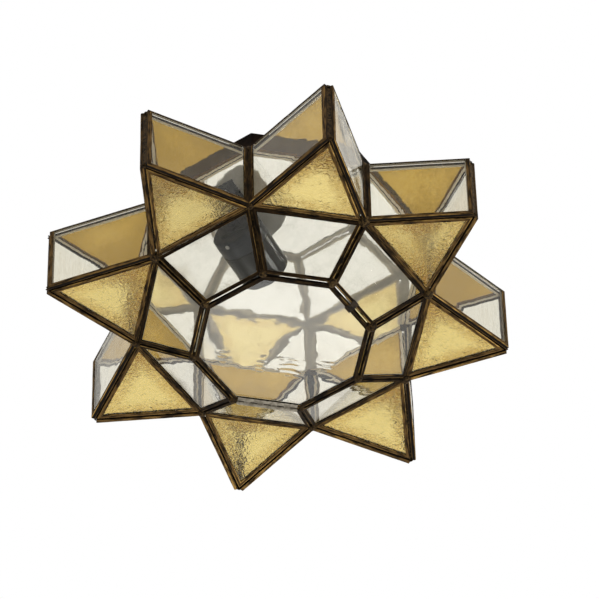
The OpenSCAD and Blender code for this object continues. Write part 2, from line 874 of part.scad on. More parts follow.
door_pane();
hinge_door_leaf();
hinge_body_leaf();
hinge_pin();
catch_clip();
door_tab();
ceiling_pan();
mounting_bar();
thumb_screws();
socket_bracket();
bracket_screws();
socket_shell();
socket_cap();
socket_contacts();
socket_leads();
wire_grommet();
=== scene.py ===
# An eight-pointed star ceiling light of framed glass, seen from below as it would hang.
import math

import bmesh
import bpy
import numpy as np
from mathutils import Matrix, Vector, geometry, noise


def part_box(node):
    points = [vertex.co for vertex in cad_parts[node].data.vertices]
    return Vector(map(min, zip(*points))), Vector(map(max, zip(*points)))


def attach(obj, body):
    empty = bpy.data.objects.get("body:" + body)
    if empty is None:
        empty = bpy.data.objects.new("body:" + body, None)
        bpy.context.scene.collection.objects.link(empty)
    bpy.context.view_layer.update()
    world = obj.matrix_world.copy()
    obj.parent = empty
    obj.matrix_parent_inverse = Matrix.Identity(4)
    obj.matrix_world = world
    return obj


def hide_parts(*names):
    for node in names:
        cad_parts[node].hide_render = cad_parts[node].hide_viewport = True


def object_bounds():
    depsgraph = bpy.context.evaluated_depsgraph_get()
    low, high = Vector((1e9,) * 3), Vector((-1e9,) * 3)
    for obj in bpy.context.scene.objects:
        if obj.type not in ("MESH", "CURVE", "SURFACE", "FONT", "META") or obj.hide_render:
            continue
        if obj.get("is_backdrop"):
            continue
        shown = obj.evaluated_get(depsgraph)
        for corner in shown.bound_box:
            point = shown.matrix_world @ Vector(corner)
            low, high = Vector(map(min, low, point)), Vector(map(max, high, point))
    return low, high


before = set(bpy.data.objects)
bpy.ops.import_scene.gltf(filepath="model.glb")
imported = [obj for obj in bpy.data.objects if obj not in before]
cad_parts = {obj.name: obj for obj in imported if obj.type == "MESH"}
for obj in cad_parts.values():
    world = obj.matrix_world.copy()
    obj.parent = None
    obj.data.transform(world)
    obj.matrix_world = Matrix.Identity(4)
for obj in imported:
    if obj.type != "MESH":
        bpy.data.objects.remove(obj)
cad_low, cad_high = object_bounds()
star_middle = (cad_low + cad_high) / 2
LANTERN = "lantern"
DOOR = "door"
MM = 0.001
POINTS = 8

# The studio: a long lens below the lamp, a white surround and a pale floor far below.
# A large soft box stands where the mirror shows it, and one to the right draws the socket's stripes.
LENS = 288.1
CAMERA_PLACE = (-0.60766, -3.02307, -3.72571)
CAMERA_LOOK = (0.131312, 0.634015, 0.762091)
CAMERA_RIGHT = (0.982606, -0.185069, -0.015341)
FLOOR_DROP = 7.0
FLOOR_SIZE = 60.0
BACKDROP_GLOW = (0.85, 0.82, 0.745, 1)
ROOM_GLOW = (0.74, 0.72, 0.68, 1)
BACKDROP_FROM, BACKDROP_FULL = 0.80, 0.95  # cosines to the line of sight, edge and full
LIGHTS_AWAY = 3.0  # from the star's middle to either soft box
WHITE = (1, 1, 1, 1)

scene = bpy.context.scene
scene.view_settings.view_transform = "Standard"
scene.cycles.max_bounces = 32
scene.cycles.transmission_bounces = 28
scene.cycles.glossy_bounces = 12
scene.cycles.diffuse_bounces = 3
scene.cycles.transparent_max_bounces = 16
scene.cycles.use_denoising = True


def add(tree, kind, sockets=None, **settings):
    """A node with its settings, and each named or numbered input set or linked."""
    node = tree.nodes.new(kind)
    for name, value in settings.items():
        setattr(node, name, value)
    for name, value in (sockets or {}).items():
        if isinstance(value, bpy.types.NodeSocket):
            tree.links.new(value, node.inputs[name])
        else:
            node.inputs[name].default_value = value
    return node


def between(tree, value, low, high, to_low=0.0, to_high=1.0):
    """The value mapped from one range to another, clamped and eased."""
    return add(tree, "ShaderNodeMapRange", {
        "Value": value, "From Min": low, "From Max": high, "To Min": to_low, "To Max": to_high},
        interpolation_type="SMOOTHSTEP").outputs[0]


def mixed(tree, share, a, b):
    """Colour a turning into colour b as the share rises."""
    return add(tree, "ShaderNodeMix", {0: share, 6: a, 7: b}, data_type="RGBA").outputs[2]


def new_paint(name):
    """A material, its node tree and its main shader."""
    paint = bpy.data.materials.new(name)
    paint.use_nodes = True
    return paint, paint.node_tree, paint.node_tree.nodes["Principled BSDF"]


camera = bpy.data.objects.new("camera", bpy.data.cameras.new("camera"))
scene.collection.objects.link(camera)
camera.data.lens = LENS
camera.data.clip_end = 100
look = Vector(CAMERA_LOOK).normalized()
up = Vector(CAMERA_RIGHT).cross(look).normalized()
right = look.cross(up)
turn = Matrix((right, up, -look)).transposed().to_4x4()
camera.matrix_world = Matrix.Translation(CAMERA_PLACE) @ turn
scene.camera = camera

# The camera sees plain white; the lamp itself sees a pale backdrop behind it in a dimmer room.
surround = bpy.data.worlds.new("studio")
surround.use_nodes = True
tree = surround.node_tree
tree.nodes.clear()
towards = add(tree, "ShaderNodeTexCoord").outputs["Generated"]
ahead = add(tree, "ShaderNodeVectorMath", {
    0: towards, 1: tuple(look)}, operation="DOT_PRODUCT").outputs["Value"]
shade = mixed(tree, between(tree, ahead, BACKDROP_FROM, BACKDROP_FULL), ROOM_GLOW, BACKDROP_GLOW)
seen = add(tree, "ShaderNodeBackground", {"Color": WHITE, "Strength": 1.0}).outputs[0]
felt = add(tree, "ShaderNodeBackground", {"Color": shade, "Strength": 1.0}).outputs[0]
straight = add(tree, "ShaderNodeLightPath").outputs["Is Camera Ray"]
either = add(tree, "ShaderNodeMixShader", {0: straight, 1: felt, 2: seen}).outputs[0]
add(tree, "ShaderNodeOutputWorld", {"Surface": either})
scene.world = surround


def soft_box(name, towards, size, glow):
    """A rectangular light that faces the lamp from the given direction; glow is its brightness."""
    light = bpy.data.lights.new(name, "AREA")
    light.shape = "RECTANGLE"
    light.size, light.size_y = size
    light.energy = glow * math.pi * size[0] * size[1]
    box = bpy.data.objects.new(name, light)
    away = Vector(towards).normalized()
    facing = away.to_track_quat("Z", "Y").to_matrix().to_4x4()
    box.matrix_world = Matrix.Translation(star_middle + away * LIGHTS_AWAY) @ facing
    scene.collection.objects.link(box)


soft_box("large_box", (look.x, look.y, -look.z), (2.4, 2.4), 1.14)
soft_box("side_box", (0.88, -0.17, -0.43), (0.9, 1.0), 9.0)

reach = FLOOR_SIZE / 2
floor_mesh = bpy.data.meshes.new("floor")
floor_mesh.from_pydata(
    [(-reach, -reach, -FLOOR_DROP), (reach, -reach, -FLOOR_DROP),
     (reach, reach, -FLOOR_DROP), (-reach, reach, -FLOOR_DROP)], [], [(0, 1, 2, 3)])
floor = bpy.data.objects.new("floor", floor_mesh)
scene.collection.objects.link(floor)
floor_paint, tree, skin = new_paint("pale floor")
skin.inputs["Base Color"].default_value = (0.60, 0.60, 0.58, 1)
skin.inputs["Roughness"].default_value = 0.8
skin.inputs["Emission Color"].default_value = WHITE
straight = add(tree, "ShaderNodeLightPath").outputs["Is Camera Ray"]
tree.links.new(straight, skin.inputs["Emission Strength"])
floor_mesh.materials.append(floor_paint)
floor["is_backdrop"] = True

# The channel frames: strip brass folded to a U round each pane, mitred at its corners and
# patinated dark brown outside, rubbed to gold on its edges, and tinned bright inside the lamp.
# Painted light on them: black painted shade in grooves, valleys, tips and back edges, a painted
# gold highlight on the front corners of the points that face +y, and a near-white painted sheen on
# part of the tin.
CHANNEL_STEP = 3.5 * MM
CHANNEL_WAVE = 0.10 * MM
CHANNEL_DENT = 0.05 * MM
CHANNEL_PROFILE = (  # inset from the edge, depth below the face, wear_and_shade (below zero: grime and painted shade)
    (4.40, 0.38, 0.2), (4.40, 0.12, 0.9), (4.28, 0.00, 1.0), (3.90, 0.00, 0.1),
    (1.25, 0.00, 0.0), (0.80, 0.00, 0.5), (0.40, 0.11, 1.0), (0.11, 0.40, 0.7),
    (0.00, 0.80, -0.4), (0.00, 1.25, -1.0), (0.00, 2.95, -1.0), (0.00, 3.40, -0.4),
    (0.11, 3.80, 0.5), (0.40, 4.09, 0.8), (0.80, 4.20, 0.4), (1.25, 4.20, 0.0),
    (3.90, 4.20, 0.0), (4.28, 4.20, 0.8), (4.40, 4.08, 0.8), (4.40, 3.82, 0.2),
    (4.28, 3.70, -1.0), (0.50, 3.70, -1.0), (0.50, 0.50, -1.0), (4.28, 0.50, -1.0))
# Parts of the profile, by the number of the point that each of its faces starts from.
OUTER_HALF = range(10)
BEND = range(4, 12)
CORNERS = range(7, 13)
RIM_FACES = range(8, 15)
INNER_SIDE = range(13, 24)
BACK_BAND = range(13, 20)
INNER_LIP = range(15, 20)
GLASS_BED = range(19, 22)
ON_RIM = 0.2  # points of the profile nearer the pane's edge than this are on the rim, in mm
ON_LIP = 3.8  # points further in than this are on a lip's free edge
ON_INNER = 3.5  # points deeper than this are on the inner lip
FRONT_CUT = 0.5  # how much narrower the lips are round the panes that lie flat or slope
LIP_CUT = 2.4  # how much narrower the lips are along a side wall's back edge
FLAT_CUT = 1.2  # how much narrower the inner lips are over the back panes and the mirror
TIP_MORE = 0.8  # how much wider the inner lip is along a side wall's tip
VALLEY_MORE = 0.5  # how far a wall's channel swells into the joint in a valley
DOOR_MORE = 0.5  # how far the door's channel swells into the gap round it
VALLEY_WITHIN = 0.19  # a wall's upright strip nearer the lamp's axis than this is in a valley
RISE = 20 * MM  # a side that climbs more than this is upright
LEVEL = 0.5 * MM  # a side within this height of a wall's edge runs along that edge
SHARP = math.radians(35)
DENT_SEED = 7  # keeps the channels' waves and dents the same in every run
noise.seed_set(DENT_SEED)


def solids(node):
    """The separate solids of a CAD node, each as a list of its corners."""
    work = bmesh.new()
    work.from_mesh(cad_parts[node].data)
    bmesh.ops.remove_doubles(work, verts=work.verts, dist=0.001 * MM)
    work.verts.index_update()
    seen, found = set(), []
    for first in work.verts:
        if first.index in seen:
            continue
        seen.add(first.index)
        waiting, corners = [first], []
        while waiting:
            corner = waiting.pop()
            corners.append(corner.co.copy())
            for edge in corner.link_edges:
                other = edge.other_vert(corner)
                if other.index not in seen:
                    seen.add(other.index)
                    waiting.append(other)
        found.append(corners)
    work.free()
    return found


def outer_face(corners):
    """A flat solid's outer face: corners anticlockwise from outside, normal and thickness."""
    points = np.array(corners)
    middle = points.mean(axis=0)
    normal = Vector(np.linalg.svd(points - middle)[2][2]).normalized()
    if normal.dot(Vector(middle) - star_middle) < 0:
        normal.negate()
    heights = points @ np.array(normal)
    top = points[heights > heights.max() - 0.1 * MM]
    level = Vector(np.linalg.svd(top - top.mean(axis=0))[2][2]).normalized()
    normal = level if level.dot(normal) > 0 else -level
    heights = points @ np.array(normal)
    x = normal.orthogonal().normalized()
    y = normal.cross(x)
    top = [Vector(p) for p in top]
    hull = geometry.convex_hull_2d([(p.dot(x), p.dot(y)) for p in top])
    outline = [top[i] for i in hull]
    area = sum((a.cross(b)).dot(normal) for a, b in zip(outline, outline[1:] + outline[:1]))
    if area < 0:
        outline.reverse()
    kept = []
    for i, p in enumerate(outline):
        before = (p - outline[i - 1]).normalized()
        after = (outline[(i + 1) % len(outline)] - p).normalized()
        if before.cross(after).length > 0.02:
            kept.append(p)
    return kept, normal, heights.max() - heights.min()


def from_axis(p):
    """A point's distance from the lamp's axis."""
    return math.hypot(p.x, p.y)


def inset(outline, normal, distances):
    """The outline with each side moved inwards by its own distance; side i starts at corner i."""
    moved = []
    for i, p in enumerate(outline):
        before = normal.cross((p - outline[i - 1]).normalized())
        after = normal.cross((outline[(i + 1) % len(outline)] - p).normalized())
        lean = before.dot(after)
        first, second = distances[i - 1], distances[i]
        step = before * (first - lean * second) + after * (second - lean * first)
        moved.append(p + step / (1 - lean ** 2))
    return moved


def put(name, mesh, body, slot, *nodes):
    """Places a finished mesh on a body and in place of CAD nodes; the slot is not used."""
    made = bpy.data.objects.new(name, mesh)
    scene.collection.objects.link(made)
    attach(made, body)
    if nodes:
        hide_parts(*nodes)


def smooth(mesh, angle=SHARP):
    """Smooth shading that keeps edges sharper than the angle."""
    mesh.shade_smooth()
    mesh.set_sharp_from_angle(angle=angle)


def channel_rings(outline, normal, swell=0.0):
    """The profile swept round an outline: each ring's distance along it, its points and its place."""
    upright = abs(normal.z) < 0.5
    ceiling_side = max(p.z for p in outline) - LEVEL
    floor_side = min(p.z for p in outline) + LEVEL
    corners = []
    for u, depth, _ in CHANNEL_PROFILE:
        on_rim, on_lip, on_inner = u < ON_RIM, u > ON_LIP, u > ON_LIP and depth > ON_INNER
        if on_rim:
            u -= swell
        widths = []
        for i, p in enumerate(outline):
            q = outline[(i + 1) % len(outline)]
            standing = upright and abs(p.z - q.z) > RISE
            width = u
            if standing and on_rim and max(from_axis(p), from_axis(q)) < VALLEY_WITHIN:
                width -= VALLEY_MORE
            if on_lip and not upright:
                width -= FRONT_CUT
            if on_lip and upright and min(p.z, q.z) > ceiling_side:
                width -= LIP_CUT
            if on_inner and normal.z > 0.5:
                width -= FLAT_CUT
            if standing and on_inner and min(from_axis(p), from_axis(q)) > VALLEY_WITHIN:
                width += TIP_MORE
            widths.append(width * MM)
        corners.append(inset(outline, normal, widths))
    rings, run = [], 0.0
    for i, p in enumerate(outline):
        after = (i + 1) % len(outline)
        q = outline[after]
        side = (q - p).length
        if not upright:
            place = "level"
        elif min(p.z, q.z) > ceiling_side:
            place = "back"
        elif max(p.z, q.z) < floor_side:
            place = "front"
        else:
            place = "valley" if max(from_axis(p), from_axis(q)) < VALLEY_WITHIN else "tip"
        count = max(3, round(side / CHANNEL_STEP))
        for j in range(count):
            ring = []
            for at, (_, depth, _) in zip(corners, CHANNEL_PROFILE):
                spot = at[i].lerp(at[after], j / count) - normal * depth * MM
                bend = noise.noise_vector(spot / (14 * MM)) * CHANNEL_WAVE
                dent = noise.noise_vector(spot / (4 * MM)) * CHANNEL_DENT
                ring.append(spot + bend + dent)
            rings.append((run + side * j / count, ring, place))
        run += side
    return rings, run


def wear_and_painted_light(k, wear_and_shade, place, lit_side, inside):
    """The wear of a profile's point k, with grime and painted shade in grooves, valleys, tips and back
    edges, and a painted gold highlight on the front corners of the points that face +y.
    """
    if inside:
        return max(wear_and_shade, -0.1)
    # Painted highlight: the front channels' corners are rubbed gold only on the points that face +y;
    # elsewhere the same corners stay black as painted shade. Painted shade also darkens the front channels'
    # inner side, the back channels' outer half, the tips and the valleys.
    if place == "front" and lit_side and k in CORNERS:
        return 0.5
    if place == "front" and k in INNER_SIDE:
        return -1.0
    if place == "back" and k in (20, 21):
        return 0.1
    if place == "back" and k in OUTER_HALF:
        return min(wear_and_shade, -0.5)
    if place == "tip":
        return -0.3 if k in INNER_SIDE else max(wear_and_shade, -0.5) - 0.25 * (wear_and_shade > 0)
    if place == "valley":
        return min(wear_and_shade, -0.55) if k in BEND else wear_and_shade - 0.5
    return wear_and_shade


def channels(name, node, body, skins):
    """The mitred channels that stand for one CAD node; skins are the outer metal, the tin, and a near-white
    copy of the tin that paints its sheen.
    """
    verts, faces, marks, wear_and_shade, lie = [], [], [], [], []
    size = len(CHANNEL_PROFILE)
    across = [0.0]
    for a, b in zip(CHANNEL_PROFILE, CHANNEL_PROFILE[1:] + CHANNEL_PROFILE[:1]):
        across.append(across[-1] + math.hypot(a[0] - b[0], a[1] - b[1]) * MM)
    for which, corners in enumerate(solids(node)):
        outline, normal, _ = outer_face(corners)
        rings, whole = channel_rings(outline, normal, DOOR_MORE if body == DOOR else 0.0)
        # Frames round panes that face down take the painted-sheen copy of the tin on their lips.
        lining = 2 if normal.z < -0.5 else 1
        inside = normal.z > 0.5 and body == LANTERN
        shift = 0.61 * which + 7.7 * outline[0].x + 3.1 * outline[0].y
        base = len(verts)
        for _, ring, place in rings:
            verts += ring
            # Each profile point's wear, with painted shade and painted highlight by place.
            wear_and_shade += [wear_and_painted_light(k, point[2], place, normal.y > 0.1, inside)
                     for k, point in enumerate(CHANNEL_PROFILE)]
        for r, (run, _, place) in enumerate(rings):
            here, there = base + r * size, base + (r + 1) % len(rings) * size
            along = rings[r + 1][0] if r + 1 < len(rings) else whole
            for k in range(size):
                nxt = (k + 1) % size
                faces.append((here + k, here + nxt, there + nxt, there + k))
                # Marked 2, painted sheen: the inside faces round the back panes and the mirror, the rims in
                # valleys, and the glass beds of back and tip channels take the near-white copy of the tin.
                pale = inside and k > 5 or place == "valley" and k in RIM_FACES or \
                    place in ("back", "tip") and k in GLASS_BED
                tin = place not in ("front", "tip") and k in INNER_LIP or place == "back" and k in BACK_BAND
                marks.append(2 if pale else lining if tin else 0)
                lie += [(run + shift, across[k]), (run + shift, across[k + 1]),
                        (along + shift, across[k + 1]), (along + shift, across[k])]
    mesh = bpy.data.meshes.new(name)
    mesh.from_pydata(verts, [], faces)
    mesh.polygons.foreach_set("material_index", marks)
    mesh.attributes.new("wear_and_shade", "FLOAT", "POINT").data.foreach_set("value", wear_and_shade)
    mesh.uv_layers.new(name="strip").data.foreach_set("uv", [c for pair in lie for c in pair])
    for skin in skins:
        mesh.materials.append(skin)
    smooth(mesh)
    put(name, mesh, body, "came_brass", node)


def new_group(name, inputs, outputs):
    """A shader node group with the named sockets."""
    tree = bpy.data.node_groups.new(name, "ShaderNodeTree")
    for label, kind, value in inputs:
        socket = tree.interface.new_socket(name=label, in_out="INPUT", socket_type="NodeSocket" + kind)
        socket.default_value = value
    for label, kind in outputs:
        tree.interface.new_socket(name=label, in_out="OUTPUT", socket_type="NodeSocket" + kind)
    return tree, add(tree, "NodeGroupInput").outputs, add(tree, "NodeGroupOutput").inputs


def fractal(tree, where, scale, detail, rough=0.5):
    """Noise on a coordinate, as a socket; scale is in lumps to the metre."""
    return add(tree, "ShaderNodeTexNoise", {
        "Vector": where, "Scale": scale, "Detail": detail, "Roughness": rough}).outputs[0]


def maths(tree, operation, a, b):
    """One sum of two values or sockets."""
    return add(tree, "ShaderNodeMath", {0: a, 1: b}, operation=operation).outputs[0]


def raised(tree, skin, height, depth):
    """Lets a height between 0 and 1 stand out of the surface by the depth in mm."""
    relief = add(tree, "ShaderNodeBump", {"Height": height, "Strength": 1.0, "Distance": depth * MM})
    tree.links.new(relief.outputs["Normal"], skin.inputs["Normal"])


# Patina: dark and mid brown mottling, bright metal where it is rubbed, and black where the wear is below
# zero: grime, and painted shade in grooves, valleys, tips and back edges.
patina, given, out = new_group("patina", [
    ("Place", "Vector", (0, 0, 0)), ("Dark", "Color", (0.02, 0.012, 0.004, 1)),
    ("Mid", "Color", (0.1, 0.06, 0.02, 1)), ("Bright", "Color", (0.5, 0.28, 0.04, 1)),
    ("GrimeAndShade", "Color", (0.006, 0.004, 0.003, 1)), ("WearAndShade", "Float", 0.0),
    ("Mottle", "Float", 150.0), ("Rubbed", "Float", 0.5)],
    [("Color", "Color"), ("Roughness", "Float"), ("Metallic", "Float"), ("Height", "Float")])
here = given["Place"]
blotch = fractal(patina, here, given["Mottle"], 4, 0.62)
grain = fractal(patina, here, 1500, 2, 0.6)
patch = fractal(patina, here, 38, 2)
brown = mixed(patina, between(patina, blotch, 0.36, 0.66), given["Dark"], given["Mid"])
rub = maths(patina, "MULTIPLY", maths(patina, "MAXIMUM", given["WearAndShade"], 0.0), given["Rubbed"])
rub = maths(patina, "MULTIPLY", rub, between(patina, patch, 0.36, 0.62, 0.25, 1.0))
rub = maths(patina, "MULTIPLY", rub, between(patina, blotch, 0.34, 0.60, 0.2, 1.0))
rub = maths(patina, "MULTIPLY", rub, between(patina, grain, 0.25, 0.6, 0.6, 1.0))
brown = mixed(patina, between(patina, rub, 0.08, 0.62), brown, given["Bright"])
# Wear below zero turns the colour black: grime, and painted shade in grooves, valleys, tips and back edges.
grime_and_shade = between(patina, maths(patina, "MULTIPLY", given["WearAndShade"], -1.0), 0.1, 0.8)
patina.links.new(mixed(patina, grime_and_shade, brown, given["GrimeAndShade"]), out["Color"])
patina.links.new(between(patina, rub, 0.0, 0.6, 0.62, 0.34), out["Roughness"])
patina.links.new(between(patina, rub, 0.1, 0.6, 0.0, 1.0), out["Metallic"])
height = maths(patina, "ADD", maths(patina, "MULTIPLY", blotch, 0.6), maths(patina, "MULTIPLY", grain, 0.4))
patina.links.new(height, out["Height"])


def metal(name, dark, mid, bright, mottle, rubbed, metallic=None, bump=0.12, strip=0.0, wear_and_shade=0.35,
          gloss=0.2, rough=None):
    """A patinated metal in three tones, as dull as its patina unless metallic or rough say otherwise.

    mottle is in blotches to the metre, rubbed how bright the rubbed places get, bump in mm and
    wear_and_shade an even wear. strip draws the mottling out along a swept strip, which has its own wear,
    grime and painted shade.
    """
    paint, tree, skin = new_paint(name)
    coat = add(tree, "ShaderNodeGroup", {
        "Dark": (*dark, 1), "Mid": (*mid, 1), "Bright": (*bright, 1),
        "Mottle": mottle, "Rubbed": rubbed, "WearAndShade": wear_and_shade}, node_tree=patina)
    if strip:
        place = add(tree, "ShaderNodeUVMap", uv_map="strip").outputs["UV"]
        place = add(tree, "ShaderNodeMapping", {"Vector": place, "Scale": (strip, 1, 1)}).outputs[0]
        own_wear_and_shade = add(tree, "ShaderNodeAttribute", attribute_name="wear_and_shade").outputs["Fac"]
        tree.links.new(own_wear_and_shade, coat.inputs["WearAndShade"])
    else:
        place = add(tree, "ShaderNodeTexCoord").outputs["Object"]
    tree.links.new(place, coat.inputs["Place"])
    tree.links.new(coat.outputs["Color"], skin.inputs["Base Color"])
    for label, value in (("Roughness", rough), ("Metallic", metallic)):
        if value is None:
            tree.links.new(coat.outputs[label], skin.inputs[label])
        else:
            skin.inputs[label].default_value = value
    raised(tree, skin, coat.outputs["Height"], bump)
    skin.inputs["Specular IOR Level"].default_value = gloss
    return paint


brown_brass = metal("brown_brass", (0.014, 0.008, 0.003), (0.190, 0.108, 0.034), (0.70, 0.43, 0.12),
                    mottle=420, rubbed=0.72, strip=0.14, gloss=0.08)
black_brass = metal("black_brass", (0.003, 0.002, 0.0015), (0.040, 0.023, 0.009), (0.52, 0.33, 0.11),
                    mottle=420, rubbed=0.55, strip=0.14, gloss=0.06)
tinned = metal("tinned_inside", (0.40, 0.35, 0.28), (0.78, 0.74, 0.66), (0.90, 0.88, 0.82),
               mottle=260, rubbed=0.8, strip=0.3, metallic=1.0, gloss=0.5, rough=0.32)
# A near-white, dull copy of the tin: its brightness is painted sheen, standing for the light the tinned
# faces reflect.
tin_painted_sheen = metal("tin_inside_painted_sheen", (0.96, 0.83, 0.62), (0.99, 0.90, 0.72), (0.97, 0.91, 0.79),
                 mottle=160, rubbed=0.6, bump=0.02, strip=0.4, metallic=0.0, gloss=0.5, rough=0.4)

for k in range(1, POINTS + 1):
    channels(f"point_channels_{k}", f"point_frame_{k}", LANTERN, (brown_brass, tinned, tin_painted_sheen))
    channels(f"slope_channels_{k}", f"slope_frame_{k}", LANTERN, (black_brass, tinned, tin_painted_sheen))
channels("mirror_channel", "mirror_frame", LANTERN, (brown_brass, tinned, tin_painted_sheen))
channels("door_channel", "door_frame", DOOR, (black_brass, tinned, tin_painted_sheen))

# The panes: rolled cathedral glass, hammered amber in the points, drawn clear glass in the walls,
# the slopes and the door, each slab cut to its frame and flat where the channel grips it. The amber
# of the back panes is tinted deeper as painted shade.
GRIP = 3.8 * MM  # how far in from the edge the channel holds the glass flat
FADE = 9 * MM  # over what width the ripples rise from there
RIM_FROM = 4.0 * MM  # where the dirt at the frame begins
RIM_WIDTH = 16 * MM  # and over what width it ends


def pane_slab(corners, step, waves, seed):
    """One slab: points, triangles; waves are (length, depth) pairs of its ripples in mm."""
    outline, normal, thickness = outer_face(corners)
    count = len(outline)
    middle = sum(outline, Vector()) / count
    rows = max(8, round(max((a - b).length for a, b in zip(outline, outline[1:])) / step))
    spots = [middle]
    for r in range(1, rows + 1):
        for i, p in enumerate(outline):
            after = outline[(i + 1) % count]
            for s in range(r):
                spots.append(middle + (p.lerp(after, s / r) - middle) * (r / rows))
    sides = [(p, normal.cross((outline[(i + 1) % count] - p).normalized())) for i, p in enumerate(outline)]
    verts, rim_share = [], []
    for side in range(2):
        for spot in spots:
            gap = min((spot - p).dot(n) for p, n in sides)
            rim_share.append(max(0.0, 1 - max(0.0, gap - RIM_FROM) / RIM_WIDTH))
            ease = min(1.0, max(0.0, (gap - GRIP) / FADE))
            ease = ease * ease * (3 - 2 * ease)
            lift = 0.0
            if ease:
                for size, depth in waves:
                    lift += depth * noise.noise(spot / (size * MM) + Vector((seed + 7.3 * side, 0, 0)))
            verts.append(spot + normal * (lift * ease * MM - side * thickness))
    half = len(spots)
    faces = []

    def base(r):
        return 1 + count * r * (r - 1) // 2 if r else 0

    def at(r, i, s):
        return base(r) + (i * r + s) % (count * r) if r else 0

    for r in range(1, rows + 1):
        for i in range(count):
            for s in range(r):
                faces.append((at(r - 1, i, s), at(r, i, s), at(r, i, s + 1)))
                if s < r - 1:
                    faces.append((at(r - 1, i, s), at(r, i, s + 1), at(r - 1, i, s + 1)))
    faces += [(c + half, b + half, a + half) for a, b, c in faces]
    rim = count * rows
    for s in range(rim):
        a, b = base(rows) + s, base(rows) + (s + 1) % rim
        faces.append((b, a, a + half))
        faces.append((b, a + half, b + half))
    return verts, faces, rim_share


def panes(name, node, body, slot, skins, step, waves):
    """The glass slabs that stand for one CAD node, each with its own skin if several are given."""
    verts, faces, marks, rim = [], [], [], []
    for i, corners in enumerate(solids(node)):
        seed = 13.7 * i + sum(corners[0]) * 90
        more, tris, share = pane_slab(corners, step, waves, seed)
        rim += share
        faces += [tuple(v + len(verts) for v in tri) for tri in tris]
        marks += [min(i, len(skins) - 1)] * len(tris)
        verts += more
    mesh = bpy.data.meshes.new(name)
    mesh.from_pydata(verts, [], faces)
    mesh.polygons.foreach_set("material_index", marks)
    mesh.attributes.new("rim", "FLOAT", "POINT").data.foreach_set("value", rim)
    for skin in skins:
        mesh.materials.append(skin)
    smooth(mesh, math.radians(50))
    put(name, mesh, body, slot, node)


# Ripples of rolled glass: their height, and how much thicker and darker the glass is on them.
rolled, given, out = new_group("rolled", [
    ("Size", "Float", 300.0), ("Fine", "Float", 900.0), ("Share", "Float", 0.3), ("Twist", "Float", 0.0),
    ("Stretch", "Vector", (1, 1, 1))], [("Height", "Float"), ("Thick", "Float")])
here = add(rolled, "ShaderNodeTexCoord").outputs["Object"]
here = add(rolled, "ShaderNodeMapping", {"Vector": here, "Scale": given["Stretch"]}).outputs[0]
lump = add(rolled, "ShaderNodeTexNoise", {
    "Vector": here, "Scale": given["Size"], "Detail": 1.5, "Roughness": 0.4,
    "Distortion": given["Twist"]}).outputs[0]
fine = fractal(rolled, here, given["Fine"], 2, 0.5)
both = maths(rolled, "ADD", lump, maths(rolled, "MULTIPLY", fine, given["Share"]))
rolled.links.new(both, out["Height"])
wrinkle = maths(rolled, "ABSOLUTE", maths(rolled, "SUBTRACT", lump, 0.5), 0.0)
wrinkle = between(rolled, wrinkle, 0.0, 0.09, 1.0, 0.0)
speck = between(rolled, fine, 0.40, 0.66)
both = maths(rolled, "ADD", maths(rolled, "MULTIPLY", wrinkle, 0.6), maths(rolled, "MULTIPLY", speck, 0.4))
rolled.links.new(both, out["Thick"])

# Cords: a band of fine wavy ridges across the door's pane, where the glass was drawn unevenly.
reams, given, out = new_group("reams", [
    ("From", "Float", 0.012), ("To", "Float", 0.046), ("Scale", "Float", 50.0)], [("Height", "Float")])
here = add(reams, "ShaderNodeTexCoord").outputs["Object"]
lines = add(reams, "ShaderNodeTexWave", {
    "Vector": here, "Scale": given["Scale"], "Distortion": 9.0, "Detail": 1.0, "Detail Scale": 0.5},
    wave_type="BANDS", bands_direction="Y").outputs[1]
along = add(reams, "ShaderNodeSeparateXYZ", {0: here}).outputs["Y"]
along = maths(reams, "ADD", along, maths(reams, "MULTIPLY", fractal(reams, here, 16, 1), 0.02))
along = maths(reams, "SUBTRACT", along, 0.01)
begins = between(reams, along, given["From"], maths(reams, "ADD", given["From"], 0.006))
ends = between(reams, along, maths(reams, "SUBTRACT", given["To"], 0.012), given["To"], 1.0, 0.0)
band = maths(reams, "MULTIPLY", begins, ends)
band = maths(reams, "MULTIPLY", band, between(reams, fractal(reams, here, 42, 1), 0.51, 0.64))
reams.links.new(maths(reams, "MULTIPLY", lines, band), out["Height"])

# Dust and smears: a mask of soft patches with grainy edges, heavier near the frame.
smears, given, out = new_group("smears", [
    ("Patch", "Float", 22.0), ("Grain", "Float", 700.0), ("Low", "Float", 0.5), ("High", "Float", 0.7),
    ("Rim", "Float", 0.0)], [("Mask", "Float")])
here = add(smears, "ShaderNodeTexCoord").outputs["Object"]
wide = fractal(smears, here, given["Patch"], 2, 0.6)
grain = fractal(smears, here, given["Grain"], 2, 0.6)
both = maths(smears, "ADD", maths(smears, "MULTIPLY", wide, 0.7), maths(smears, "MULTIPLY", grain, 0.3))
both = maths(smears, "ADD", both, given["Rim"])
smears.links.new(between(smears, both, given["Low"], given["High"]), out["Mask"])


